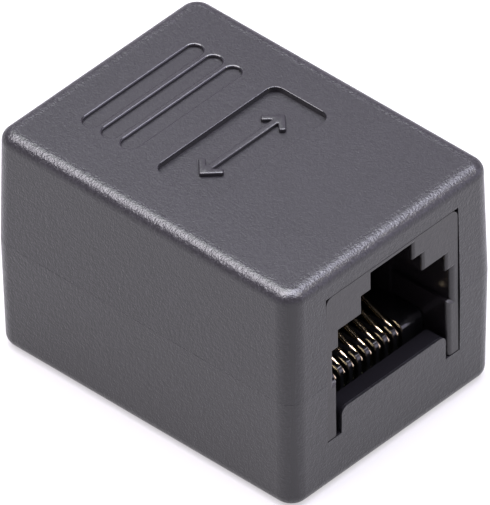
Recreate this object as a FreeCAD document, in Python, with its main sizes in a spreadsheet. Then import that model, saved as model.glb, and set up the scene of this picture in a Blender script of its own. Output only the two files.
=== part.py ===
import FreeCAD, Part
import math
import os
import Sketcher

# RJ45 inline coupler: two eight-way jacks stand back to back on a small circuit board, inside
# a two-part moulded shell with a port in each end.
#
# X is the width, Y the length (the way the plugs go in) and Z is up. The origin is at the
# bottom centre. All lengths are in millimetres and all angles in degrees.

FOLDER = "parts"

# Driving dimensions. Heights named *_top, *_bottom or *_height are measured from the bottom
# face, and places named *_place from the middle of the coupler. What belongs to an end wall or
# to the ceiling is measured from there, as an inset, a gap, a rise or a drop.
SIZES = {
    # shell
    "body_width": 23.4,
    "body_length": 31.5,
    "body_height": 21.2,
    "parting_height": 10.6,
    "draft_angle": 0.95,
    "wall": 1.65,
    "floor_thickness": 1.65,
    "corner_radius": 1.6,
    "rim_radius": 1.05,
    "inner_corner_radius": 0.5,
    "seam_radius": 0.03,
    "lap_height": 0.9,
    "lap_thickness": 0.7,
    "lap_clearance": 0.08,
    # openings in the end walls
    "window_width": 15.1,
    "window_bottom": 4.75,
    "window_ceiling_gap": 0.6,
    "tongue_width": 11.9,
    "tongue_top": 7.2,
    "tongue_radius": 0.7,
    # pins and bosses that hold the shells together
    "boss_diameter": 2.3,
    "boss_place_x": 9.35,
    "boss_inset_y": 2.0,
    "pin_diameter": 1.2,
    "pin_length": 4.0,
    "pin_clearance": 0.05,
    # grip grooves and label recess in the top
    "groove_count": 3,
    "groove_pitch": 2.02,
    "groove_length": 13.05,
    "groove_width": 1.46,
    "groove_depth": 0.3,
    "groove_place": 6.68,
    "groove_lip_radius": 0.16,
    "recess_length": 13.8,
    "recess_width": 5.95,
    "recess_depth": 0.5,
    "recess_place": 0.28,
    "recess_radius": 0.9,
    "recess_lip_radius": 0.07,
    "top_marks_shift": 0.28,
    # circuit board and the rails that carry it
    "board_thickness": 1.2,
    "board_width": 15.2,
    "board_end_gap": 0.8,
    "board_corner_radius": 0.8,
    "rail_width": 1.1,
    "rail_end_gap": 3.8,
    "rail_lip_width": 0.7,
    "rail_lip_height": 0.8,
    "fit_clearance": 0.1,
    # jack housing
    "housing_recess": 0.12,
    "nose_clearance": 0.07,
    "nose_shift": 0.045,
    "nose_top_clearance": 0.025,
    "foot_clearance": 0.08,
    "nose_radius": 0.7,
    "shoulder": 0.35,
    "shoulder_radius": 0.6,
    "housing_gap": 1.7,
    "back_wall": 2.1,
    "leg_gap_width": 12.56,
    "plug_width": 12.2,
    "tab_width": 6.92,
    "tab_rise": 1.75,
    "latch_width": 4.7,
    "latch_rise": 1.65,
    "latch_roof": 0.445,
    "latch_room_width": 7.2,
    "latch_room_length": 7.0,
    "relief_width": 13.38,
    "relief_bottom": 10.2,
    "relief_drop": 1.68,
    "relief_depth": 6.0,
    "mouth_radius": 0.26,
    "leg_radius": 0.42,
    # contact carrier
    "carrier_top": 8.0,
    "carrier_clearance": 0.1,
    "rib_nose_inset": 2.58,
    "rib_nose_radius": 0.6,
    "core_top": 6.6,
    "core_bottom": 5.9,
    "slot_width": 0.62,
    "slot_length": 7.65,
    "peg_diameter": 1.5,
    "peg_place_x": 5.4,
    "peg_inset": 2.65,
    "peg_clearance": 0.05,
    "peg_reach": 0.3,
    # contacts
    "contact_count": 8,
    "contact_pitch": 1.016,
    "wire_diameter": 0.46,
    "wire_clearance": 0.02,
    "wire_setback": 0.12,
    "bend_radius": 0.55,
    "nose_bend_height": 6.84,
    "spring_reach": 7.05,
    "tip_height": 10.36,
    "tail_inset": 1.35,
    "tail_stagger": 2.54,
    "tail_length": 0.8,
    "tail_hole_clearance": 0.1,
    "solder_height": 0.55,
    "solder_diameter": 1.5,
    "solder_tip_diameter": 0.6,
    # ribs of the upper shell
    "press_rib_width": 1.0,
    "press_rib_place": 4.6,
    "press_rib_end_gap": 1.6,
    "middle_rib_width": 12.0,
    "middle_rib_depth": 7.0,
}

doc = FreeCAD.newDocument("rj45_inline_coupler")
sheet = doc.addObject("Spreadsheet::Sheet", "Sizes")
for row, (alias, size) in enumerate(SIZES.items(), start=1):
    sheet.set(f"A{row}", alias)
    sheet.set(f"B{row}", str(size))
    sheet.setAlias(f"B{row}", alias)
doc.recompute()


# Lengths that follow from the driving dimensions, as expressions.

def of(alias):
    return f"Sizes.{alias}"


def half(alias):
    return f"Sizes.{alias} / 2"


DRAFT = "tan(Sizes.draft_angle)"
BODY_HALF_WIDTH = half("body_width")
BODY_HALF_LENGTH = half("body_length")
INNER_HALF_WIDTH = "(Sizes.body_width / 2 - Sizes.wall)"
INNER_HALF_LENGTH = "(Sizes.body_length / 2 - Sizes.wall)"
UPPER_HEIGHT = "(Sizes.body_height - Sizes.parting_height)"
CEILING = "(Sizes.body_height - Sizes.floor_thickness)"
IN_TOP_WALL = "(Sizes.body_height - Sizes.floor_thickness / 2)"
LAP_TOP = "(Sizes.parting_height + Sizes.lap_height)"
FACE = f"({BODY_HALF_LENGTH} - Sizes.housing_recess)"
WINDOW_TOP = f"({CEILING} - Sizes.window_ceiling_gap)"
BOSS_PLACE_Y = f"({INNER_HALF_LENGTH} - Sizes.boss_inset_y)"
PRESS_RIB_END = f"({INNER_HALF_LENGTH} - Sizes.press_rib_end_gap)"
BOARD_HALF_LENGTH = f"({INNER_HALF_LENGTH} - Sizes.board_end_gap)"
BOARD_TOP = of("window_bottom")
BOARD_BOTTOM = "(Sizes.window_bottom - Sizes.board_thickness)"
NOSE_HALF_WIDTH = "(Sizes.window_width / 2 - Sizes.nose_clearance)"
NOSE_TOP = f"({WINDOW_TOP} - Sizes.nose_top_clearance)"
NOSE_BOTTOM = "(Sizes.window_bottom + Sizes.foot_clearance)"
SHOULDER_HALF_WIDTH = f"({NOSE_HALF_WIDTH} + Sizes.shoulder)"
SHOULDER_TOP = f"({NOSE_TOP} + Sizes.shoulder)"
LATCH_TOP = f"({NOSE_TOP} - Sizes.latch_roof)"
TAB_TOP = f"({LATCH_TOP} - Sizes.latch_rise)"
PLUG_TOP = f"({TAB_TOP} - Sizes.tab_rise)"
RELIEF_TOP = f"({PLUG_TOP} - Sizes.relief_drop)"
SHOULDER_PLACE = f"({INNER_HALF_LENGTH} - Sizes.parting_height * {DRAFT} - Sizes.fit_clearance)"
HOUSING_BACK = half("housing_gap")
CAVITY_BACK = "(Sizes.housing_gap / 2 + Sizes.back_wall)"
CARRIER_BACK = f"({CAVITY_BACK} + Sizes.carrier_clearance)"
RIB_NOSE = f"({FACE} - Sizes.rib_nose_inset)"
PEG_PLACE_Y = f"({RIB_NOSE} - Sizes.peg_inset)"
SPRING_TIP = f"({RIB_NOSE} - Sizes.spring_reach)"
FIRST_TAIL = f"({CARRIER_BACK} + Sizes.tail_inset)"
WIRE_FRONT = f"({RIB_NOSE} - Sizes.wire_diameter / 2 - Sizes.wire_setback)"
CORE_FRONT = f"({WIRE_FRONT} - Sizes.wire_diameter / 2 - Sizes.wire_clearance)"
WIRE_BOTTOM = "(Sizes.core_bottom - Sizes.wire_diameter / 2 - Sizes.wire_clearance)"
TAIL_END = f"({BOARD_BOTTOM} - Sizes.tail_length)"


# Sketch helpers.

def number(expression):
    """Value of an expression over the sheet."""
    return float(sheet.evalExpression(expression))


def add_body(name):
    body = doc.addObject("PartDesign::Body", name)
    body.Label = name
    return body


def origin_feature(body, role):
    return next(feature for feature in body.Origin.OriginFeatures if feature.Role == role)


def add_sketch(body, name, plane, offset):
    """Sketch on an origin plane of its body, moved along the plane's normal."""
    sketch = body.newObject("Sketcher::SketchObject", name)
    sketch.AttachmentSupport = [(origin_feature(body, plane), "")]
    sketch.MapMode = "FlatFace"
    sketch.setExpression("AttachmentOffset.Base.z", offset)
    return sketch


def bind(sketch, kind, references, expression):
    """Dimension of a sketch, bound to an expression."""
    index = sketch.addConstraint(Sketcher.Constraint(kind, *references, number(expression)))
    sketch.setExpression(f"Constraints[{index}]", expression)


def place_point(sketch, geometry, end, across, up):
    """Ties a point to the sketch's origin."""
    bind(sketch, "DistanceX", (-1, 1, geometry, end), across)
    bind(sketch, "DistanceY", (-1, 1, geometry, end), up)


def vector(across, up):
    return FreeCAD.Vector(number(across), number(up), 0)


def draw_polygon(sketch, corners):
    """Closed outline through corners, each given as a pair of expressions."""
    points = [vector(*corner) for corner in corners]
    first = sketch.GeometryCount
    count = len(points)
    for index, start in enumerate(points):
        sketch.addGeometry(Part.LineSegment(start, points[(index + 1) % count]), False)
    for index in range(count):
        following = first + (index + 1) % count
        sketch.addConstraint(Sketcher.Constraint("Coincident", first + index, 2, following, 1))
    for index, corner in enumerate(corners):
        place_point(sketch, first + index, 1, *corner)


def draw_rectangle(sketch, left, bottom, right, top):
    draw_polygon(sketch, [(left, bottom), (right, bottom), (right, top), (left, top)])


def draw_centred_rectangle(sketch, half_across, half_up):
    draw_rectangle(sketch, f"-({half_across})", f"-({half_up})", half_across, half_up)


def draw_circle(sketch, across, up, diameter):
    centre = vector(across, up)
    circle = Part.Circle(centre, FreeCAD.Vector(0, 0, 1), number(diameter) / 2)
    geometry = sketch.addGeometry(circle, False)
    place_point(sketch, geometry, 3, across, up)
    bind(sketch, "Diameter", (geometry,), diameter)


def draw_slot(sketch, across, up, length, width):
    """Round-ended slot along the sketch's first axis."""
    reach = f"({length} - {width}) / 2"
    rise = f"({width}) / 2"
    left, right = f"{across} - {reach}", f"{across} + {reach}"
    low, high = f"{up} - {rise}", f"{up} + {rise}"
    radius = number(rise)
    axis = FreeCAD.Vector(0, 0, 1)
    ends = (Part.Circle(vector(right, up), axis, radius), Part.Circle(vector(left, up), axis, radius))
    quarter = math.pi / 2
    bottom_line = sketch.addGeometry(Part.LineSegment(vector(left, low), vector(right, low)), False)
    right_arc = sketch.addGeometry(Part.ArcOfCircle(ends[0], -quarter, quarter), False)
    top_line = sketch.addGeometry(Part.LineSegment(vector(right, high), vector(left, high)), False)
    left_arc = sketch.addGeometry(Part.ArcOfCircle(ends[1], quarter, 3 * quarter), False)
    sketch.addConstraint(Sketcher.Constraint("Tangent", bottom_line, 2, right_arc, 1))
    sketch.addConstraint(Sketcher.Constraint("Tangent", right_arc, 2, top_line, 1))
    sketch.addConstraint(Sketcher.Constraint("Tangent", top_line, 2, left_arc, 1))
    sketch.addConstraint(Sketcher.Constraint("Tangent", left_arc, 2, bottom_line, 1))
    place_point(sketch, right_arc, 3, right, up)
    place_point(sketch, left_arc, 3, left, up)
    bind(sketch, "Radius", (right_arc,), rise)


# Feature helpers. Each one recomputes, so that the next one can read the solid so far.

def volume(body):
    return body.Shape.Volume if body.Shape.Solids else 0.0


def recompute():
    """Recomputes the document, and stops at the first object that failed."""
    doc.recompute()
    for item in doc.Objects:
        if "Invalid" in item.State or "Error" in item.State:
            raise RuntimeError(f"{item.Name} failed: {item.State} {item.getStatusString()}")


def finish_feature(body, feature, grows):
    """Recomputes, and stops if a feature did nothing."""
    before = volume(body)
    body.Tip = feature
    recompute()
    gained = volume(body) - before
    if (gained if grows else -gained) < 1e-6:
        raise RuntimeError(f"{feature.Name}: {feature.getStatusString()}, volume changed by {gained}")


def add_pad(body, sketch, length, reversed_way=False, taper=None, symmetric=False):
    pad = body.newObject("PartDesign::Pad", f"{sketch.Name}_pad")
    pad.Profile = sketch
    pad.Reversed = reversed_way
    pad.setExpression("Length", length)
    if symmetric:
        pad.SideType = "Symmetric"
    if taper:
        pad.setExpression("TaperAngle", taper)
    finish_feature(body, pad, True)
    return pad


def add_pocket(body, sketch, length, reversed_way=False, taper=None, symmetric=False):
    pocket = body.newObject("PartDesign::Pocket", f"{sketch.Name}_pocket")
    pocket.Profile = sketch
    pocket.Reversed = reversed_way
    pocket.setExpression("Length", length)
    if symmetric:
        pocket.SideType = "Symmetric"
    if taper:
        pocket.setExpression("TaperAngle", taper)
    finish_feature(body, pocket, False)
    return pocket


def pick_edges(body, wanted):
    """Names of the edges of a body's solid whose end points and middle pass a test."""
    names = []
    for index, edge in enumerate(body.Shape.Edges, start=1):
        middle = edge.valueAt((edge.FirstParameter + edge.LastParameter) / 2)
        points = [vertex.Point for vertex in edge.Vertexes] + [middle]
        if wanted(points):
            names.append(f"Edge{index}")
    return names


def round_edges(body, name, radius, wanted):
    names = pick_edges(body, wanted)
    if not names:
        raise RuntimeError(f"{name}: no edges found")
    base = body.Tip
    feature = body.newObject("PartDesign::Fillet", name)
    feature.Base = (base, names)
    feature.setExpression("Radius", radius)
    body.Tip = feature
    recompute()
    return feature


def repeat(body, feature, role, pitch, count):
    """Row of copies of a feature along an origin axis."""
    pattern = body.newObject("PartDesign::LinearPattern", f"{feature.Name}_row")
    pattern.Originals = [feature]
    pattern.Direction = (origin_feature(body, role), [""])
    pattern.setExpression("Length", f"({count} - 1) * {pitch}")
    pattern.setExpression("Occurrences", count)
    body.Tip = pattern
    recompute()
    return pattern


NEAR = 1e-4


def all_at(points, axis, place):
    return all(abs(getattr(point, axis) - place) < NEAR for point in points)


def runs_along(points, axis):
    """True for a straight edge that is parallel to an axis, or within a few degrees of it."""
    reach = points[1] - points[0]
    return reach.Length > NEAR and abs(getattr(reach, axis)) > 0.99 * reach.Length


# Shells.

def corner_signs():
    return [(x, y) for x in ("", "-") for y in ("", "-")]


def add_shell_block(body, up):
    """Drafted block from the parting plane to the outer face, with rounded corners and rim."""
    outline = add_sketch(body, f"{body.Name}_outline", "XY_Plane", of("parting_height"))
    draw_centred_rectangle(outline, BODY_HALF_WIDTH, BODY_HALF_LENGTH)
    rise = UPPER_HEIGHT if up else of("parting_height")
    add_pad(body, outline, rise, reversed_way=not up, taper="-Sizes.draft_angle")
    outer = number(of("body_height")) if up else 0.0
    parting = number(of("parting_height"))

    def upright(points):
        return runs_along(points, "z")

    def on_rim(points):
        return all_at(points, "z", outer)

    def on_seam(points):
        return all_at(points, "z", parting)

    round_edges(body, f"{body.Name}_corners", of("corner_radius"), upright)
    round_edges(body, f"{body.Name}_rim", of("rim_radius"), on_rim)
    round_edges(body, f"{body.Name}_seam", of("seam_radius"), on_seam)


def add_shell_cavity(body, up):
    """Room inside the walls, drafted like the outside."""
    room = add_sketch(body, f"{body.Name}_room", "XY_Plane", of("parting_height"))
    draw_centred_rectangle(room, INNER_HALF_WIDTH, INNER_HALF_LENGTH)
    depth = f"{UPPER_HEIGHT if up else of('parting_height')} - Sizes.floor_thickness"
    add_pocket(body, room, depth, reversed_way=up, taper="-Sizes.draft_angle")
    inner_width = number(INNER_HALF_WIDTH)
    inner_length = number(INNER_HALF_LENGTH)

    def inner_corner(points):
        inside = all(abs(p.x) < inner_width + NEAR and abs(p.y) < inner_length + NEAR for p in points)
        return inside and runs_along(points, "z")

    round_edges(body, f"{body.Name}_room_corners", of("inner_corner_radius"), inner_corner)


def draw_corner_circles(sketch, diameter):
    for sign_x, sign_y in corner_signs():
        across = f"{sign_x}Sizes.boss_place_x"
        up = f"{sign_y}{BOSS_PLACE_Y}"
        draw_circle(sketch, across, up, diameter)


def build_lower_shell():
    body = add_body("lower_shell")
    add_shell_block(body, up=False)
    add_shell_cavity(body, up=False)

    lap = add_sketch(body, "lap", "XY_Plane", of("parting_height"))
    draw_centred_rectangle(lap, INNER_HALF_WIDTH, INNER_HALF_LENGTH)
    outer_width = f"{INNER_HALF_WIDTH} + Sizes.lap_thickness"
    outer_length = f"{INNER_HALF_LENGTH} + Sizes.lap_thickness"
    draw_centred_rectangle(lap, outer_width, outer_length)
    add_pad(body, lap, of("lap_height"))
    cut_lower_window(body)

    bosses = add_sketch(body, "lower_bosses", "XY_Plane", half("floor_thickness"))
    draw_corner_circles(bosses, of("boss_diameter"))
    add_pad(body, bosses, f"{LAP_TOP} - Sizes.floor_thickness / 2")
    bores = add_sketch(body, "bores", "XY_Plane", LAP_TOP)
    draw_corner_circles(bores, "Sizes.pin_diameter + 2 * Sizes.pin_clearance")
    add_pocket(body, bores, "Sizes.pin_length + Sizes.lap_clearance")

    add_rails(body)
    return body


def cut_lower_window(body):
    """Window in both end walls, with the tongue left standing between its two legs."""
    window = add_sketch(body, "lower_window", "XZ_Plane", "0")
    side, tongue = half("window_width"), half("tongue_width")
    above = f"{LAP_TOP} + Sizes.wall"
    bottom, tongue_top = of("window_bottom"), of("tongue_top")
    draw_polygon(window, [(f"-{side}", above), (f"-{side}", bottom), (f"-{tongue}", bottom),
                          (f"-{tongue}", tongue_top), (tongue, tongue_top), (tongue, bottom),
                          (side, bottom), (side, above)])
    add_pocket(body, window, "Sizes.body_length + Sizes.wall", symmetric=True)
    tongue_side = number(tongue)
    top = number(tongue_top)

    def on_tongue_corner(points):
        at_side = all(abs(abs(point.x) - tongue_side) < NEAR for point in points)
        return at_side and all_at(points, "z", top)

    round_edges(body, "tongue_corners", of("tongue_radius"), on_tongue_corner)


def add_rails(body):
    """Two stepped rails that carry the board and keep it from moving sideways."""
    rails = add_sketch(body, "rails", "XZ_Plane", "0")
    floor = half("floor_thickness")
    lip = f"{BOARD_BOTTOM} + Sizes.rail_lip_height"
    seat_edge = "(Sizes.board_width / 2 + Sizes.fit_clearance)"
    for sign in ("", "-"):
        inner = f"{sign}({seat_edge} - Sizes.rail_width)"
        seat = f"{sign}{seat_edge}"
        outer = f"{sign}({seat_edge} + Sizes.rail_lip_width)"
        draw_polygon(rails, [(inner, floor), (outer, floor), (outer, lip), (seat, lip),
                             (seat, BOARD_BOTTOM), (inner, BOARD_BOTTOM)])
    add_pad(body, rails, f"2 * ({BOARD_HALF_LENGTH} - Sizes.rail_end_gap)", symmetric=True)


def build_upper_shell():
    body = add_body("upper_shell")
    add_shell_block(body, up=True)
    add_shell_cavity(body, up=True)

    rebate = add_sketch(body, "rebate", "XY_Plane", of("parting_height"))
    step = "Sizes.lap_thickness + Sizes.lap_clearance"
    draw_centred_rectangle(rebate, f"{INNER_HALF_WIDTH} + {step}", f"{INNER_HALF_LENGTH} + {step}")
    add_pocket(body, rebate, "Sizes.lap_height + Sizes.lap_clearance", reversed_way=True)

    window = add_sketch(body, "upper_window", "XZ_Plane", "0")
    side = half("window_width")
    below = "Sizes.parting_height - Sizes.wall"
    draw_rectangle(window, f"-{side}", below, side, WINDOW_TOP)
    add_pocket(body, window, "Sizes.body_length + Sizes.wall", symmetric=True)

    boss_bottom = f"({LAP_TOP} + Sizes.lap_clearance)"
    bosses = add_sketch(body, "upper_bosses", "XY_Plane", boss_bottom)
    draw_corner_circles(bosses, of("boss_diameter"))
    add_pad(body, bosses, f"{IN_TOP_WALL} - {boss_bottom}")
    pins = add_sketch(body, "pins", "XY_Plane", boss_bottom)
    draw_corner_circles(pins, of("pin_diameter"))
    add_pad(body, pins, "Sizes.pin_length - Sizes.lap_clearance", reversed_way=True)

    add_upper_ribs(body)
    cut_grooves(body)
    cut_label_recess(body)
    return body


def add_upper_ribs(body):
    """Two ribs that hold the jacks down, and one that fills the space between their backs."""
    ribs = add_sketch(body, "press_ribs", "XZ_Plane", "0")
    low = f"{SHOULDER_TOP} + Sizes.fit_clearance"
    for sign in ("", "-"):
        inner = f"{sign}(Sizes.press_rib_place - Sizes.press_rib_width / 2)"
        outer = f"{sign}(Sizes.press_rib_place + Sizes.press_rib_width / 2)"
        draw_rectangle(ribs, inner, low, outer, IN_TOP_WALL)
    add_pad(body, ribs, f"2 * {PRESS_RIB_END}", symmetric=True)

    middle = add_sketch(body, "middle_rib", "XZ_Plane", "0")
    edge = half("middle_rib_width")
    draw_rectangle(middle, f"-{edge}", f"{CEILING} - Sizes.middle_rib_depth", edge, IN_TOP_WALL)
    add_pad(body, middle, "Sizes.housing_gap - 2 * Sizes.fit_clearance", symmetric=True)


def round_recess_lip(body, name, radius, inside):
    """Rounds the edges of a recess in the top face that lie inside a plan outline."""
    top = number(of("body_height"))

    def on_lip(points):
        return all_at(points, "z", top) and all(inside(point) for point in points)

    round_edges(body, name, radius, on_lip)


def cut_grooves(body):
    """Row of round-ended grip grooves across the top."""
    groove = add_sketch(body, "groove", "XY_Plane", of("body_height"))
    draw_slot(groove, of("top_marks_shift"), of("groove_place"), of("groove_length"), of("groove_width"))
    pocket = add_pocket(body, groove, of("groove_depth"))
    repeat(body, pocket, "Y_Axis", of("groove_pitch"), of("groove_count"))
    nearest = number("Sizes.groove_place - Sizes.groove_width")
    farthest = number("Sizes.groove_place + Sizes.groove_count * Sizes.groove_pitch")
    reach = number("Sizes.groove_length / 2 + Sizes.top_marks_shift") + NEAR

    def in_grooves(point):
        return nearest < point.y < farthest and abs(point.x) < reach

    round_recess_lip(body, "groove_lips", of("groove_lip_radius"), in_grooves)


def cut_label_recess(body):
    """Shallow recess with rounded corners, left bare."""
    recess = add_sketch(body, "label_recess", "XY_Plane", of("body_height"))
    left = "(Sizes.top_marks_shift - Sizes.recess_length / 2)"
    right = "(Sizes.top_marks_shift + Sizes.recess_length / 2)"
    near = "(Sizes.recess_place - Sizes.recess_width / 2)"
    far = "(Sizes.recess_place + Sizes.recess_width / 2)"
    draw_rectangle(recess, left, near, right, far)
    add_pocket(body, recess, of("recess_depth"))
    corner_x = (number(left), number(right))
    corner_y = (number(near), number(far))
    floor = number("Sizes.body_height - Sizes.recess_depth")

    def on_corner(points):
        at_side = any(all_at(points, "x", place) for place in corner_x)
        at_end = any(all_at(points, "y", place) for place in corner_y)
        return at_side and at_end and min(point.z for point in points) > floor - NEAR

    def in_recess(point):
        across = corner_x[0] - NEAR < point.x < corner_x[1] + NEAR
        return across and corner_y[0] - NEAR < point.y < corner_y[1] + NEAR

    round_edges(body, "recess_corners", of("recess_radius"), on_corner)
    round_recess_lip(body, "recess_lip", of("recess_lip_radius"), in_recess)


# Circuit board.

def contact_place(number_of_contact):
    """Across-the-width place of a contact, counted from 1."""
    return f"(({number_of_contact} - (Sizes.contact_count + 1) / 2) * Sizes.contact_pitch)"


def tail_place(number_of_contact):
    """Distance of a contact's tail from the middle of the coupler: every other one stands back."""
    if number_of_contact % 2:
        return FIRST_TAIL
    return f"({FIRST_TAIL} + Sizes.tail_stagger)"


def contact_numbers():
    return range(1, int(number(of("contact_count"))) + 1)


def build_board():
    body = add_body("circuit_board")
    outline = add_sketch(body, "board_outline", "XY_Plane", BOARD_BOTTOM)
    draw_centred_rectangle(outline, half("board_width"), BOARD_HALF_LENGTH)
    add_pad(body, outline, of("board_thickness"))

    def upright(points):
        return runs_along(points, "z")

    round_edges(body, "board_corners", of("board_corner_radius"), upright)
    holes = add_sketch(body, "board_holes", "XY_Plane", BOARD_TOP)
    for index in contact_numbers():
        diameter = "Sizes.wire_diameter + 2 * Sizes.tail_hole_clearance"
        draw_circle(holes, contact_place(index), f"-{tail_place(index)}", diameter)
    for sign in ("", "-"):
        diameter = "Sizes.peg_diameter + 2 * Sizes.peg_clearance"
        draw_circle(holes, f"{sign}Sizes.peg_place_x", f"-{PEG_PLACE_Y}", diameter)
    pocket = add_pocket(body, holes, of("board_thickness"))
    both_ends = body.newObject("PartDesign::PolarPattern", "holes_both_ends")
    both_ends.Originals = [pocket]
    both_ends.Axis = (origin_feature(body, "Z_Axis"), [""])
    both_ends.Angle = 360
    both_ends.Occurrences = 2
    finish_feature(body, both_ends, False)
    return body


# Jack pieces, drawn for the port that faces -Y. The rear ones are turned round.

def build_housing(name):
    """Jack housing: a nose that fills the window and a wider body behind the end wall."""
    body = add_body(name)
    block = add_sketch(body, f"{name}_block", "XZ_Plane", SHOULDER_PLACE)
    draw_rectangle(block, f"-{SHOULDER_HALF_WIDTH}", BOARD_TOP, SHOULDER_HALF_WIDTH, SHOULDER_TOP)
    add_pad(body, block, f"{SHOULDER_PLACE} - {HOUSING_BACK}", reversed_way=True)
    shoulders = (f"-{SHOULDER_HALF_WIDTH}", SHOULDER_HALF_WIDTH)
    round_upper_corners(body, f"{name}_shoulders", shoulders, SHOULDER_TOP, of("shoulder_radius"))

    nose = add_sketch(body, f"{name}_nose", "XZ_Plane", FACE)
    left, right = f"-({NOSE_HALF_WIDTH} + Sizes.nose_shift)", f"({NOSE_HALF_WIDTH} - Sizes.nose_shift)"
    draw_rectangle(nose, left, NOSE_BOTTOM, right, NOSE_TOP)
    add_pad(body, nose, f"{FACE} - {SHOULDER_PLACE}", reversed_way=True)
    round_upper_corners(body, f"{name}_nose_corners", (left, right), NOSE_TOP, of("nose_radius"))

    cut_mouth(body, name)
    return body


def round_upper_corners(body, name, sides, top, radius):
    """Rounds the two long upper edges of a block."""
    places, height = [number(side) for side in sides], number(top)

    def on_corner(points):
        return any(all_at(points, "x", place) for place in places) and all_at(points, "z", height)

    round_edges(body, name, radius, on_corner)


def mouth_outline():
    """Right half of the opening, from the foot of the leg to the top of the latch slot."""
    return [
        (half("leg_gap_width"), "(Sizes.window_bottom - Sizes.wall)"),
        (half("leg_gap_width"), of("carrier_top")),
        (half("plug_width"), of("carrier_top")),
        (half("plug_width"), PLUG_TOP),
        (half("tab_width"), PLUG_TOP),
        (half("tab_width"), TAB_TOP),
        (half("latch_width"), TAB_TOP),
        (half("latch_width"), LATCH_TOP),
    ]


def cut_mouth(body, name):
    """Stepped opening for a plug and its latch, with a room behind for the latch to spring up."""
    right = mouth_outline()
    left = [(f"-{across}", up) for across, up in reversed(right)]
    mouth = add_sketch(body, f"{name}_mouth", "XZ_Plane", FACE)
    draw_polygon(mouth, right + left)
    add_pocket(body, mouth, f"{FACE} - {CAVITY_BACK}")

    for step, width, low, high in (("relief", "relief_width", of("relief_bottom"), RELIEF_TOP),
                                   ("foot", "leg_gap_width", of("carrier_top"), of("relief_bottom"))):
        side = add_sketch(body, f"{name}_{step}", "XZ_Plane", FACE)
        draw_rectangle(side, f"-{half(width)}", low, half(width), high)
        add_pocket(body, side, of("relief_depth"))

    room = add_sketch(body, f"{name}_latch_room", "XZ_Plane", SHOULDER_PLACE)
    side = half("latch_room_width")
    draw_rectangle(room, f"-{side}", PLUG_TOP, side, LATCH_TOP)
    add_pocket(body, room, of("latch_room_length"))
    round_mouth(body, name)


def round_mouth(body, name):
    """Lead-in round the opening: wide along the legs and the reliefs, narrower above them."""
    front = -number(FACE)
    inner_side = number(half("plug_width")) + NEAR
    outer_side = number(half("relief_width")) + NEAR
    foot = number(NOSE_BOTTOM) + NEAR
    top = number(LATCH_TOP) + NEAR
    relief_top = number(RELIEF_TOP) - NEAR

    def on_mouth(points):
        inside = all(abs(point.x) < outer_side and point.z < top for point in points)
        return inside and all_at(points, "y", front) and max(point.z for point in points) > foot

    def on_leg(points):
        at_side = all(abs(point.x) > inner_side for point in points)
        return on_mouth(points) and at_side

    def above_relief(points):
        return on_mouth(points) and min(point.z for point in points) > relief_top

    round_edges(body, f"{name}_leg_lead_in", of("leg_radius"), on_leg)
    round_edges(body, f"{name}_top_lead_in", of("mouth_radius"), above_relief)


def build_carrier(name):
    """Contact carrier: a comb whose ribs stand between the wires."""
    body = add_body(name)
    profile = add_sketch(body, f"{name}_profile", "YZ_Plane", "0")
    nose = f"-{RIB_NOSE}"
    draw_rectangle(profile, nose, BOARD_TOP, f"-{CARRIER_BACK}", of("carrier_top"))
    add_pad(body, profile, "Sizes.leg_gap_width - 2 * Sizes.carrier_clearance", symmetric=True)
    nose_place, top = number(nose), number(of("carrier_top"))

    def on_nose(points):
        return all_at(points, "y", nose_place) and all_at(points, "z", top)

    round_edges(body, f"{name}_nose", of("rib_nose_radius"), on_nose)

    slot = add_sketch(body, f"{name}_slot", "YZ_Plane", contact_place(1))
    front, back = f"{nose} - Sizes.wall", f"-({RIB_NOSE} - Sizes.slot_length)"
    above, below = "Sizes.carrier_top + Sizes.wall", f"{BOARD_TOP} - Sizes.wall"
    tail = f"-({FIRST_TAIL} - Sizes.wire_diameter)"
    bevel = "(Sizes.bend_radius - Sizes.wire_diameter / 2)"
    draw_polygon(slot, [(front, below), (tail, below), (tail, of("core_bottom")),
                        (f"{bevel} - {CORE_FRONT}", of("core_bottom")),
                        (f"-{CORE_FRONT}", f"Sizes.core_bottom + {bevel}"),
                        (f"-{CORE_FRONT}", of("core_top")),
                        (back, of("core_top")), (back, above), (front, above)])
    pocket = add_pocket(body, slot, of("slot_width"), symmetric=True)
    repeat(body, pocket, "X_Axis", of("contact_pitch"), of("contact_count"))

    pegs = add_sketch(body, f"{name}_pegs", "XY_Plane", BOARD_TOP)
    for sign in ("", "-"):
        draw_circle(pegs, f"{sign}Sizes.peg_place_x", f"-{PEG_PLACE_Y}", of("peg_diameter"))
    add_pad(body, pegs, "Sizes.board_thickness + Sizes.peg_reach", reversed_way=True)
    return body


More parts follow.
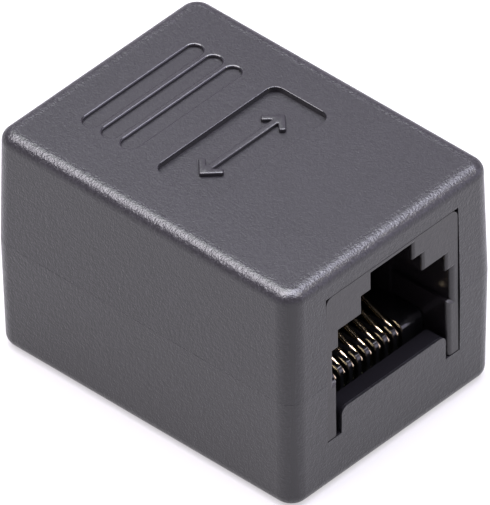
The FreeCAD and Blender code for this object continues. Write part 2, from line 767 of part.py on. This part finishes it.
def build_contact(name, index):
    """Contact: one round wire, bent round the nose of the carrier and soldered at its tail."""
    body = add_body(name)
    path = add_sketch(body, f"{name}_path", "YZ_Plane", contact_place(index))
    tail = f"-{tail_place(index)}"
    radius = number(of("bend_radius"))
    tail_y, low_z, front_y = number(tail), number(WIRE_BOTTOM), -number(WIRE_FRONT)
    bend_z = number(of("nose_bend_height"))
    tip = vector(f"-{SPRING_TIP}", of("tip_height"))
    nose_centre = FreeCAD.Vector(front_y + radius, bend_z, 0)
    to_tip = tip - nose_centre
    leave = math.atan2(to_tip.y, to_tip.x) + math.acos(radius / to_tip.Length)
    leave_point = nose_centre + FreeCAD.Vector(math.cos(leave), math.sin(leave), 0) * radius

    def line(start, end):
        return path.addGeometry(Part.LineSegment(FreeCAD.Vector(*start, 0), FreeCAD.Vector(*end, 0)), False)

    def arc(centre, start, end):
        circle = Part.Circle(FreeCAD.Vector(*centre, 0), FreeCAD.Vector(0, 0, 1), radius)
        return path.addGeometry(Part.ArcOfCircle(circle, start, end), False)

    tail_line = line((tail_y, number(TAIL_END)), (tail_y, low_z - radius))
    tail_bend = arc((tail_y - radius, low_z - radius), 0, math.pi / 2)
    low_line = line((tail_y - radius, low_z), (front_y + radius, low_z))
    low_bend = arc((front_y + radius, low_z + radius), math.pi, 1.5 * math.pi)
    front_line = line((front_y, low_z + radius), (front_y, bend_z))
    nose_bend = arc((nose_centre.x, nose_centre.y), leave, math.pi)
    spring_line = line((leave_point.x, leave_point.y), (tip.x, tip.y))
    joins = [(tail_line, 2, tail_bend, 1), (tail_bend, 2, low_line, 1), (low_line, 2, low_bend, 2),
             (low_bend, 1, front_line, 1), (front_line, 2, nose_bend, 2), (nose_bend, 1, spring_line, 1)]
    for join in joins:
        path.addConstraint(Sketcher.Constraint("Tangent", *join))
    path.addConstraint(Sketcher.Constraint("Vertical", tail_line))
    path.addConstraint(Sketcher.Constraint("Horizontal", low_line))
    path.addConstraint(Sketcher.Constraint("Vertical", front_line))
    for bend in (tail_bend, low_bend, nose_bend):
        bind(path, "Radius", (bend,), of("bend_radius"))
    place_point(path, tail_line, 1, tail, TAIL_END)
    bind(path, "DistanceY", (-1, 1, low_line, 1), WIRE_BOTTOM)
    bind(path, "DistanceX", (-1, 1, front_line, 1), f"-{WIRE_FRONT}")
    bind(path, "DistanceY", (-1, 1, nose_bend, 3), of("nose_bend_height"))
    place_point(path, spring_line, 2, f"-{SPRING_TIP}", of("tip_height"))

    section = add_sketch(body, f"{name}_section", "XY_Plane", TAIL_END)
    draw_circle(section, contact_place(index), tail, of("wire_diameter"))
    wire = body.newObject("PartDesign::AdditivePipe", f"{name}_wire")
    wire.Profile = section
    wire.Spine = (path, [])
    finish_feature(body, wire, True)
    return body


def build_solder(name):
    """Solder joints: a cone round each tail, under the board."""
    joints = []
    bottom = f"{BOARD_BOTTOM} - Sizes.solder_height"
    for index in contact_numbers():
        cone = doc.addObject("Part::Cone", f"{name}_cone_{index}")
        cone.setExpression("Radius1", half("solder_tip_diameter"))
        cone.setExpression("Radius2", half("solder_diameter"))
        bore = doc.addObject("Part::Cylinder", f"{name}_bore_{index}")
        bore.setExpression("Radius", half("wire_diameter"))
        for solid in (cone, bore):
            solid.setExpression("Height", of("solder_height"))
            solid.setExpression("Placement.Base.x", contact_place(index))
            solid.setExpression("Placement.Base.y", f"-{tail_place(index)}")
            solid.setExpression("Placement.Base.z", bottom)
        joint = doc.addObject("Part::Cut", f"{name}_joint_{index}")
        joint.Base = cone
        joint.Tool = bore
        joints.append(joint)
    group = doc.addObject("Part::Compound", name)
    group.Label = name
    group.Links = joints
    doc.recompute()
    return group


def build_jack(end):
    """The pieces of one jack, as separate sub-parts."""
    pieces = [
        build_housing(f"jack_housing_{end}"),
        build_carrier(f"contact_carrier_{end}"),
        build_solder(f"solder_joints_{end}"),
    ]
    for index in contact_numbers():
        pieces.append(build_contact(f"contact_{end}_{index}", index))
    return pieces


def turn_round(pieces):
    """Turns the pieces half a turn about the Z axis, to the other end."""
    for piece in pieces:
        piece.Placement = FreeCAD.Placement(FreeCAD.Vector(), FreeCAD.Rotation(180, 0, 0))


def export(pieces):
    recompute()
    os.makedirs(FOLDER, exist_ok=True)
    for piece in pieces:
        shape = piece.Shape
        if shape.isNull() or not shape.isValid() or not shape.Solids:
            raise RuntimeError(f"{piece.Label} has no valid solid")
        shape.exportStep(os.path.join(FOLDER, f"{piece.Label}.step"))
        print(f"{piece.Label}: {len(shape.Solids)} solids, {shape.Volume:.2f} mm3")


def main():
    rear = build_jack("rear")
    turn_round(rear)
    export([build_lower_shell(), build_upper_shell(), build_board()] + build_jack("front") + rear)


main()
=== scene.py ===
import math

import bpy
from mathutils import Matrix, Vector


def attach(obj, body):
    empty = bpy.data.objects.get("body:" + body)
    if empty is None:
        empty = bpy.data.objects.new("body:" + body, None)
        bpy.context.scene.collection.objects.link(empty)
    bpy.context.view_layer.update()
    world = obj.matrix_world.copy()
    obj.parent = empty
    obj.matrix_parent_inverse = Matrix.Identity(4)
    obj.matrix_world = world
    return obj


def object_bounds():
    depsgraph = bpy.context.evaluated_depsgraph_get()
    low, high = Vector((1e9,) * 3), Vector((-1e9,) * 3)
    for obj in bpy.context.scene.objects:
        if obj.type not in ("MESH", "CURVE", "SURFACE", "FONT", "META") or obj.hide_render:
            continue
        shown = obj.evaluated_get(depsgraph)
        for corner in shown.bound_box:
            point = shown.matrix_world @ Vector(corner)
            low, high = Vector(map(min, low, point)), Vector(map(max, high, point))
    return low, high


# RJ45 inline coupler: the moulded shell, the jacks and their contacts get their finishes here,
# and a plain two-way arrow stands in the label recess. Lengths are in metres, except where the
# arrow is modelled.

MM = 0.001
BODY = "root"

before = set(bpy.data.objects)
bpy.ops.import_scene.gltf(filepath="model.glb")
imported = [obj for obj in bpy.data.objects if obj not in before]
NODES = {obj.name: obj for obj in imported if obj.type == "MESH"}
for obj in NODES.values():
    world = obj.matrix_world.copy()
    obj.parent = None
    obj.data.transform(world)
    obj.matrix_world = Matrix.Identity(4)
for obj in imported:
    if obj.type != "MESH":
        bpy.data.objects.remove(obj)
CAD_BOX = [list(corner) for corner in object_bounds()]
SHELL_TOP = CAD_BOX[1][2]
MIDDLE = (0, 0, SHELL_TOP / 2)


# Node materials.

# Nearly all values of a noise texture lie in this range.
NOISE_RANGE = (0.3, 0.7)


class Finish:
    """A node material, built up from its Principled shader."""

    def __init__(self, name, roughness, metallic=0.0, **settings):
        self.material = bpy.data.materials.new(name)
        self.material.use_nodes = True
        self.tree = self.material.node_tree
        self.shader = self.tree.nodes["Principled BSDF"]
        self.shader.inputs["Roughness"].default_value = roughness
        self.shader.inputs["Metallic"].default_value = metallic
        for socket, value in settings.items():
            self.shader.inputs[socket.replace("_", " ")].default_value = value
        self.place = self.tree.nodes.new("ShaderNodeTexCoord").outputs["Object"]

    def node(self, kind, **settings):
        node = self.tree.nodes.new(kind)
        for name, value in settings.items():
            setattr(node, name, value)
        return node

    def link(self, source, target):
        self.tree.links.new(source, target)

    def calculate(self, operation, *values):
        """Result of a Math node. Each value is an output or a number."""
        node = self.node("ShaderNodeMath", operation=operation)
        for socket, value in zip(node.inputs, values):
            if isinstance(value, bpy.types.NodeSocket):
                self.link(value, socket)
            else:
                socket.default_value = value
        return node.outputs[0]

    def larger(self, first, second):
        return self.calculate("MAXIMUM", first, second)

    def axes(self, vector):
        """The x, y and z outputs of a vector."""
        parts = self.node("ShaderNodeSeparateXYZ")
        self.link(vector, parts.inputs[0])
        return parts.outputs

    def map_range(self, value, start, end, low, high, easing="LINEAR"):
        """Number that goes from low to high as the value goes from start to end."""
        mapping = self.node("ShaderNodeMapRange", interpolation_type=easing)
        for socket, number in zip(mapping.inputs[1:5], (start, end, low, high)):
            socket.default_value = number
        self.link(value, mapping.inputs[0])
        return mapping.outputs[0]

    def noise(self, size, detail=2.0, roughness=0.5, offset=(0, 0, 0)):
        """Noise with features about size metres across."""
        mapping = self.node("ShaderNodeMapping")
        mapping.inputs["Location"].default_value = offset
        self.link(self.place, mapping.inputs["Vector"])
        noise = self.node("ShaderNodeTexNoise")
        noise.inputs["Scale"].default_value = 1 / size
        noise.inputs["Detail"].default_value = detail
        noise.inputs["Roughness"].default_value = roughness
        self.link(mapping.outputs["Vector"], noise.inputs["Vector"])
        return noise.outputs["Fac"]

    def ramp(self, value, low, high, stops=NOISE_RANGE):
        """Colour that goes from low to high as the value goes from the first stop to the last."""
        ramp = self.node("ShaderNodeValToRGB")
        for element, place, colour in zip(ramp.color_ramp.elements, stops, (low, high)):
            element.position = place
            element.color = (*colour, 1)
        self.link(value, ramp.inputs["Fac"])
        return ramp.outputs["Color"]

    def spread(self, noise, low, high):
        """Number between low and high that follows the noise."""
        return self.map_range(noise, *NOISE_RANGE, low, high)

    def product(self, first, second):
        """Two colours multiplied. Inputs 6 and 7 of the Mix node are its colours."""
        mix = self.node("ShaderNodeMix", data_type="RGBA", blend_type="MULTIPLY")
        mix.inputs[0].default_value = 1
        self.link(first, mix.inputs[6])
        self.link(second, mix.inputs[7])
        return mix.outputs[2]

    def choose(self, mask, first, second):
        """First, an output, where the mask is nought, and the number second where it is one;
        in between, a mixture."""
        mix = self.node("ShaderNodeMix", data_type="FLOAT")
        self.link(mask, mix.inputs[0])
        self.link(first, mix.inputs[2])
        mix.inputs[3].default_value = second
        return mix.outputs[0]

    def fall(self, start, end):
        """One where |y| is start or less, falling smoothly to nought at end."""
        reach = self.calculate("ABSOLUTE", self.axes(self.place)[1])
        return self.map_range(reach, start, end, 1, 0, easing="SMOOTHSTEP")

    def inside(self, centre, reach, amount=1):
        """Amount inside a box, given by its centre and half sizes, and nought outside it."""
        place = self.place
        for operation, by in (("SUBTRACT", centre), ("ABSOLUTE", centre), ("SUBTRACT", reach)):
            step = self.node("ShaderNodeVectorMath", operation=operation)
            self.link(place, step.inputs[0])
            step.inputs[1].default_value = by
            place = step.outputs[0]
        past_x, past_y, past_z = self.axes(place)
        furthest = self.larger(self.larger(past_x, past_y), past_z)
        return self.calculate("MULTIPLY", self.calculate("LESS_THAN", furthest, 0), amount)

    def colour(self, output):
        self.link(output, self.shader.inputs["Base Color"])

    def rough(self, output):
        self.link(output, self.shader.inputs["Roughness"])

    def bump(self, height, distance, under=None):
        """Normal bumped by a height, on top of the normal under it."""
        bump = self.node("ShaderNodeBump")
        bump.inputs["Strength"].default_value = 1
        bump.inputs["Distance"].default_value = distance
        self.link(height, bump.inputs["Height"])
        if under is not None:
            self.link(under, bump.inputs["Normal"])
        return bump.outputs["Normal"]

    def surface(self, normal):
        self.link(normal, self.shader.inputs["Normal"])


def shade(colour, factor):
    return tuple(channel * factor for channel in colour)


def grey(level):
    return (level, level, level)


# Boxes with a finish of their own, each a centre and half sizes.
SHELL_INSIDE = (MIDDLE, (11.2 * MM, 15.45 * MM, 9.9 * MM))
JACK_INSIDE = (MIDDLE, (11.2 * MM, 15.3 * MM, 9.9 * MM))
GROOVE_LIPS = ((0.28 * MM, 4.4 * MM, 21.135 * MM), (7.2 * MM, 8.5 * MM, 0.063 * MM))
TOP_FACE = ((0, 0, SHELL_TOP), (10.2 * MM, 14.2 * MM, 0.6 * MM))

SHELL_COLOUR = (0.0075, 0.0070, 0.0085)
JACK_COLOUR = (0.0080, 0.0070, 0.0078)
CARRIER_COLOUR = (0.004, 0.004, 0.0045)
GOLD_COLOUR = (0.76, 0.63, 0.41)
TIN_COLOUR = (0.62, 0.62, 0.64)
LACQUER_DARK = (0.004, 0.045, 0.014)
LACQUER_LIGHT = (0.008, 0.07, 0.022)

# Moulded grain. The levels are those that the noise has on a smooth face.
FLOW_CLOUD = 6 * MM
FINE_GRAIN = 0.17 * MM
FINE_LEVEL = 0.48
COARSE_GRAIN = 0.42 * MM
COARSE_LEVEL = 0.5
COARSE_OFFSET = (0.01, 0.02, 0.03)
COARSE_SHARE = 0.72
SPECK_STOPS = (0.42, 0.72)
SPECK_SHADES = (0.7, 1.9)
GRAIN_SWING = 0.04
TOP_CALM = 0.62
POLISHED = 0.14

# Bump alone makes the contact wires look bowed down towards an end face, from one place along
# y to the other. Their meshes are straight there.
WIRE_BOW = (11.45 * MM, 12.85 * MM)
WIRE_BOW_DEPTH = 0.22 * MM


def moulded_plastic(name, colour, roughness, grain_depth, smooth_boxes):
    """Eroded-tool texture: a fine even grain with pale specks and slight flow clouds, milder on
    the top face. Faces inside the smooth boxes come off polished steel, so they are smooth."""
    finish = Finish(name, roughness)
    polished = finish.inside(*smooth_boxes[0])
    for box in smooth_boxes[1:]:
        polished = finish.larger(polished, finish.inside(*box))
    calm = finish.larger(polished, finish.inside(*TOP_FACE, amount=TOP_CALM))
    fine = finish.choose(calm, finish.noise(FINE_GRAIN, detail=1.5, roughness=0.6), FINE_LEVEL)
    coarse = finish.choose(calm, finish.noise(COARSE_GRAIN, offset=COARSE_OFFSET), COARSE_LEVEL)
    clouds = finish.noise(FLOW_CLOUD, detail=3)
    base = finish.ramp(clouds, shade(colour, 0.93), shade(colour, 1.07))
    specks = finish.ramp(fine, *map(grey, SPECK_SHADES), stops=SPECK_STOPS)
    finish.colour(finish.product(base, specks))
    grained = finish.spread(coarse, roughness - GRAIN_SWING, roughness + GRAIN_SWING)
    finish.rough(finish.choose(polished, grained, POLISHED))
    pits = finish.bump(fine, grain_depth)
    finish.surface(finish.bump(coarse, COARSE_SHARE * grain_depth, under=pits))
    return finish.material


def glossy_plastic(name, colour, roughness):
    finish = Finish(name, roughness)
    clouds = finish.noise(0.9 * MM, detail=3)
    finish.colour(finish.ramp(clouds, shade(colour, 0.8), shade(colour, 1.3)))
    wear = finish.noise(0.25 * MM)
    finish.rough(finish.spread(wear, roughness - 0.05, roughness + 0.08))
    finish.surface(finish.bump(clouds, 0.012 * MM))
    return finish.material


def plated_metal(name, colour, roughness, grain, bow=None, bow_depth=0):
    """Plating with grain of the given size. Bow is where along y bump makes the part look bowed
    down, if it does, and bow_depth is the depth of that bump."""
    finish = Finish(name, roughness, metallic=1.0)
    clouds = finish.noise(grain, detail=3)
    finish.colour(finish.ramp(clouds, shade(colour, 0.82), colour))
    wear = finish.noise(0.08 * MM)
    finish.rough(finish.spread(wear, roughness - 0.04, roughness + 0.06))
    under = None if bow is None else finish.bump(finish.fall(*bow), bow_depth)
    finish.surface(finish.bump(clouds, 0.004 * MM, under=under))
    return finish.material


def board_lacquer(name, roughness, thread):
    """Green solder mask over a faint weave of threads, whose width is given."""
    finish = Finish(name, roughness)
    weave = finish.node("ShaderNodeTexWave", wave_type="BANDS", bands_direction="X")
    weave.inputs["Scale"].default_value = 0.5 / thread
    finish.link(finish.place, weave.inputs["Vector"])
    clouds = finish.noise(2 * MM, detail=3)
    finish.colour(finish.ramp(clouds, LACQUER_DARK, LACQUER_LIGHT))
    finish.surface(finish.bump(weave.outputs["Fac"], 0.008 * MM))
    return finish.material


def make_finishes():
    """Finish of each kind of node, by a word in the node's name. Carrier comes before contact,
    because the names of the carriers hold both words."""
    return {
        "shell": moulded_plastic("shell_satin_plastic", SHELL_COLOUR, roughness=0.33,
                                 grain_depth=0.042 * MM,
                                 smooth_boxes=(SHELL_INSIDE, GROOVE_LIPS)),
        "housing": moulded_plastic("jack_satin_plastic", JACK_COLOUR, roughness=0.37,
                                   grain_depth=0.018 * MM, smooth_boxes=(JACK_INSIDE,)),
        "carrier": glossy_plastic("carrier_black_plastic", CARRIER_COLOUR, roughness=0.14),
        "board": board_lacquer("board_lacquer", roughness=0.35, thread=0.6 * MM),
        "solder": plated_metal("solder_tin", TIN_COLOUR, roughness=0.28, grain=0.5 * MM),
        "contact": plated_metal("contact_gold_plating", GOLD_COLOUR, roughness=0.15,
                                grain=0.3 * MM, bow=WIRE_BOW, bow_depth=WIRE_BOW_DEPTH),
    }


FINISHES = make_finishes()


def dress_nodes():
    for name, node in NODES.items():
        kind = next(word for word in FINISHES if word in name)
        for material_slot in node.material_slots:
            material_slot.material = FINISHES[kind]


dress_nodes()


# A plain two-way arrow in the label recess, along the coupler's width. It is modelled in
# millimetres, because bevels this small fail in metres, and then scaled down.

RECESS_CENTRE = (0.28, 0.28)
RECESS_FLOOR = 20.7
ARROW_REACH = 4.9
ARROW_ARM = 1.35
ARROW_STROKE = 0.58
ARROW_HEIGHT = 0.36
ARROW_SINK = 0.03
CORNER_BEVEL = 0.17
RIM_BEVEL = 0.11
BEVEL_SEGMENTS = 3


def arrow_outline():
    """Corners of the arrow about its centre, anticlockwise from the right tip."""
    cap = ARROW_STROKE * math.sqrt(0.5)
    crotch = ARROW_STROKE * (0.5 + math.sqrt(2))
    half_stroke = ARROW_STROKE / 2
    quarter = [(ARROW_REACH - ARROW_ARM, ARROW_ARM),
               (ARROW_REACH - ARROW_ARM - cap, ARROW_ARM - cap),
               (ARROW_REACH - crotch, half_stroke)]
    upper = [(ARROW_REACH, 0)] + quarter + [(-x, y) for x, y in reversed(quarter)]
    return upper + [(-x, -y) for x, y in upper]


def bevel_edges(mesh, wanted, width):
    """In edit mode, rounds the edges for which wanted(lowest, highest) is true of their ends."""
    bpy.ops.mesh.select_all(action="DESELECT")
    bpy.ops.object.mode_set(mode="OBJECT")
    for edge in mesh.edges:
        heights = [mesh.vertices[index].co.z for index in edge.vertices]
        edge.select = wanted(min(heights), max(heights))
    bpy.ops.object.mode_set(mode="EDIT")
    bpy.ops.mesh.bevel(offset=width, segments=BEVEL_SEGMENTS, affect="EDGES")


def add_arrow():
    corners = arrow_outline()
    bpy.ops.object.select_all(action="DESELECT")
    bpy.ops.mesh.primitive_circle_add(vertices=len(corners), radius=ARROW_REACH, fill_type="NGON")
    arrow = bpy.context.object
    arrow.name = "direction_arrow"
    mesh = arrow.data
    bottom = RECESS_FLOOR - ARROW_SINK
    top = RECESS_FLOOR + ARROW_HEIGHT
    middle = (bottom + top) / 2
    for vertex, (x, y) in zip(mesh.vertices, corners):
        vertex.co = (RECESS_CENTRE[0] + x, RECESS_CENTRE[1] + y, bottom)
    bpy.ops.object.mode_set(mode="EDIT")
    bpy.ops.mesh.select_mode(type="EDGE")
    bpy.ops.mesh.select_all(action="SELECT")
    bpy.ops.mesh.extrude_region_move(TRANSFORM_OT_translate={"value": (0, 0, top - bottom)})
    bevel_edges(mesh, lambda lowest, highest: lowest < middle < highest, CORNER_BEVEL)
    bevel_edges(mesh, lambda lowest, highest: lowest > middle, RIM_BEVEL)
    bpy.ops.mesh.select_mode(type="FACE")
    bpy.ops.mesh.select_all(action="DESELECT")
    bpy.ops.mesh.select_face_by_sides(number=4, type="GREATER")
    bpy.ops.mesh.quads_convert_to_tris(quad_method="BEAUTY", ngon_method="BEAUTY")
    bpy.ops.mesh.select_all(action="SELECT")
    bpy.ops.mesh.normals_make_consistent(inside=False)
    bpy.ops.object.mode_set(mode="OBJECT")
    arrow.scale = (MM, MM, MM)
    bpy.ops.object.transform_apply(location=False, rotation=False, scale=True)
    bpy.ops.object.shade_smooth_by_angle(angle=math.radians(35))
    mesh.materials.append(FINISHES["shell"])
    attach(arrow, BODY)


add_arrow()


# Camera, lights and floor.

VIEW_AZIMUTH = -46.826
VIEW_ELEVATION = 39.54
VIEW_ROLL = -0.801
VIEW_DISTANCE = 1.80943
VIEW_SHIFT = (0.084 * MM, -0.082 * MM)
LENS = 1666.9
SENSOR_WIDTH = 36

# Name, place, size, turn about its own axis in degrees, power in watts, colour.
SOFTBOXES = [
    ("over_left", (-0.13, 0.14, 0.5), (0.42, 0.36), -46.8, 7.0, (1.0, 0.96, 1.03)),
    ("over_right", (0.115, -0.095, 0.5), (0.42, 0.36), -46.8, 5.3, (0.91, 0.90, 1.08)),
    ("over_back", (0.12, 0.11, 0.5), (0.6, 0.2), -46.8, 2.0, (0.9, 0.98, 0.93)),
    ("front_lamp", (0.16, -0.33, 0.40), (0.09, 0.09), 0, 1.0, (1, 0.97, 0.92)),
    ("side_right", (0.36, -0.34, 0.10), (0.3, 0.3), 0, 0.5, (0.93, 0.90, 1.2)),
]
WORLD_COLOUR = (0.69, 0.62, 0.76)
WORLD_STRENGTH = 1.0

FLOOR_SIZE = 6
FLOOR_DROP = 0.02 * MM
PAPER_SHADES = (0.17, 0.18)
PAPER_GLOW = (1, 0.97, 1)
PAPER_GLOW_STRENGTH = 0.55


def add_object(name, data):
    thing = bpy.data.objects.new(name, data)
    bpy.context.collection.objects.link(thing)
    return thing


def place_camera():
    """Long lens above the near corner, turned a little about its own axis."""
    azimuth, elevation, roll = map(math.radians, (VIEW_AZIMUTH, VIEW_ELEVATION, VIEW_ROLL))
    back = Vector((math.sin(azimuth) * math.cos(elevation),
                   -math.cos(azimuth) * math.cos(elevation), math.sin(elevation)))
    level = Vector((math.cos(azimuth), math.sin(azimuth), 0))
    rise = back.cross(level)
    across = math.cos(roll) * level + math.sin(roll) * rise
    up = math.cos(roll) * rise - math.sin(roll) * level
    data = bpy.data.cameras.new("camera")
    data.sensor_width = SENSOR_WIDTH
    data.lens = LENS
    data.clip_start = 0.1
    data.clip_end = 20
    camera = add_object("camera", data)
    shift = across * VIEW_SHIFT[0] + up * VIEW_SHIFT[1]
    spot = Vector(MIDDLE) + back * VIEW_DISTANCE + shift
    turn = Matrix((across, up, back)).transposed()
    camera.matrix_world = Matrix.Translation(spot) @ turn.to_4x4()
    bpy.context.scene.camera = camera


def add_softbox(name, spot, size, turn, power, colour):
    """Area lamp that faces the middle of the coupler."""
    data = bpy.data.lights.new(name, "AREA")
    data.shape = "RECTANGLE"
    data.size, data.size_y = size
    data.energy = power
    data.color = colour
    lamp = add_object(name, data)
    lamp.location = spot
    aim = Vector(MIDDLE) - Vector(spot)
    facing = aim.to_track_quat("-Z", "Y").to_matrix()
    lamp.rotation_euler = (facing @ Matrix.Rotation(math.radians(turn), 3, "Z")).to_euler()


def light_scene():
    for box in SOFTBOXES:
        add_softbox(*box)
    world = bpy.data.worlds.new("studio")
    world.use_nodes = True
    background = world.node_tree.nodes["Background"]
    background.inputs["Color"].default_value = (*WORLD_COLOUR, 1)
    background.inputs["Strength"].default_value = WORLD_STRENGTH
    bpy.context.scene.world = world


def lay_floor():
    """Pale paper just under the coupler, with a glow of its own so that it shows white."""
    bpy.ops.object.select_all(action="DESELECT")
    bpy.ops.mesh.primitive_plane_add(size=FLOOR_SIZE, location=(0, 0, 0))
    floor = bpy.context.object
    floor.name = "floor"
    floor.location.z = -FLOOR_DROP
    paper = Finish("pale_paper", 0.7, Emission_Color=(*PAPER_GLOW, 1),
                   Emission_Strength=PAPER_GLOW_STRENGTH)
    paper.colour(paper.ramp(paper.noise(0.05), *map(grey, PAPER_SHADES)))
    floor.data.materials.append(paper.material)


place_camera()
light_scene()
lay_floor()
bpy.context.scene.view_settings.view_transform = "Standard"
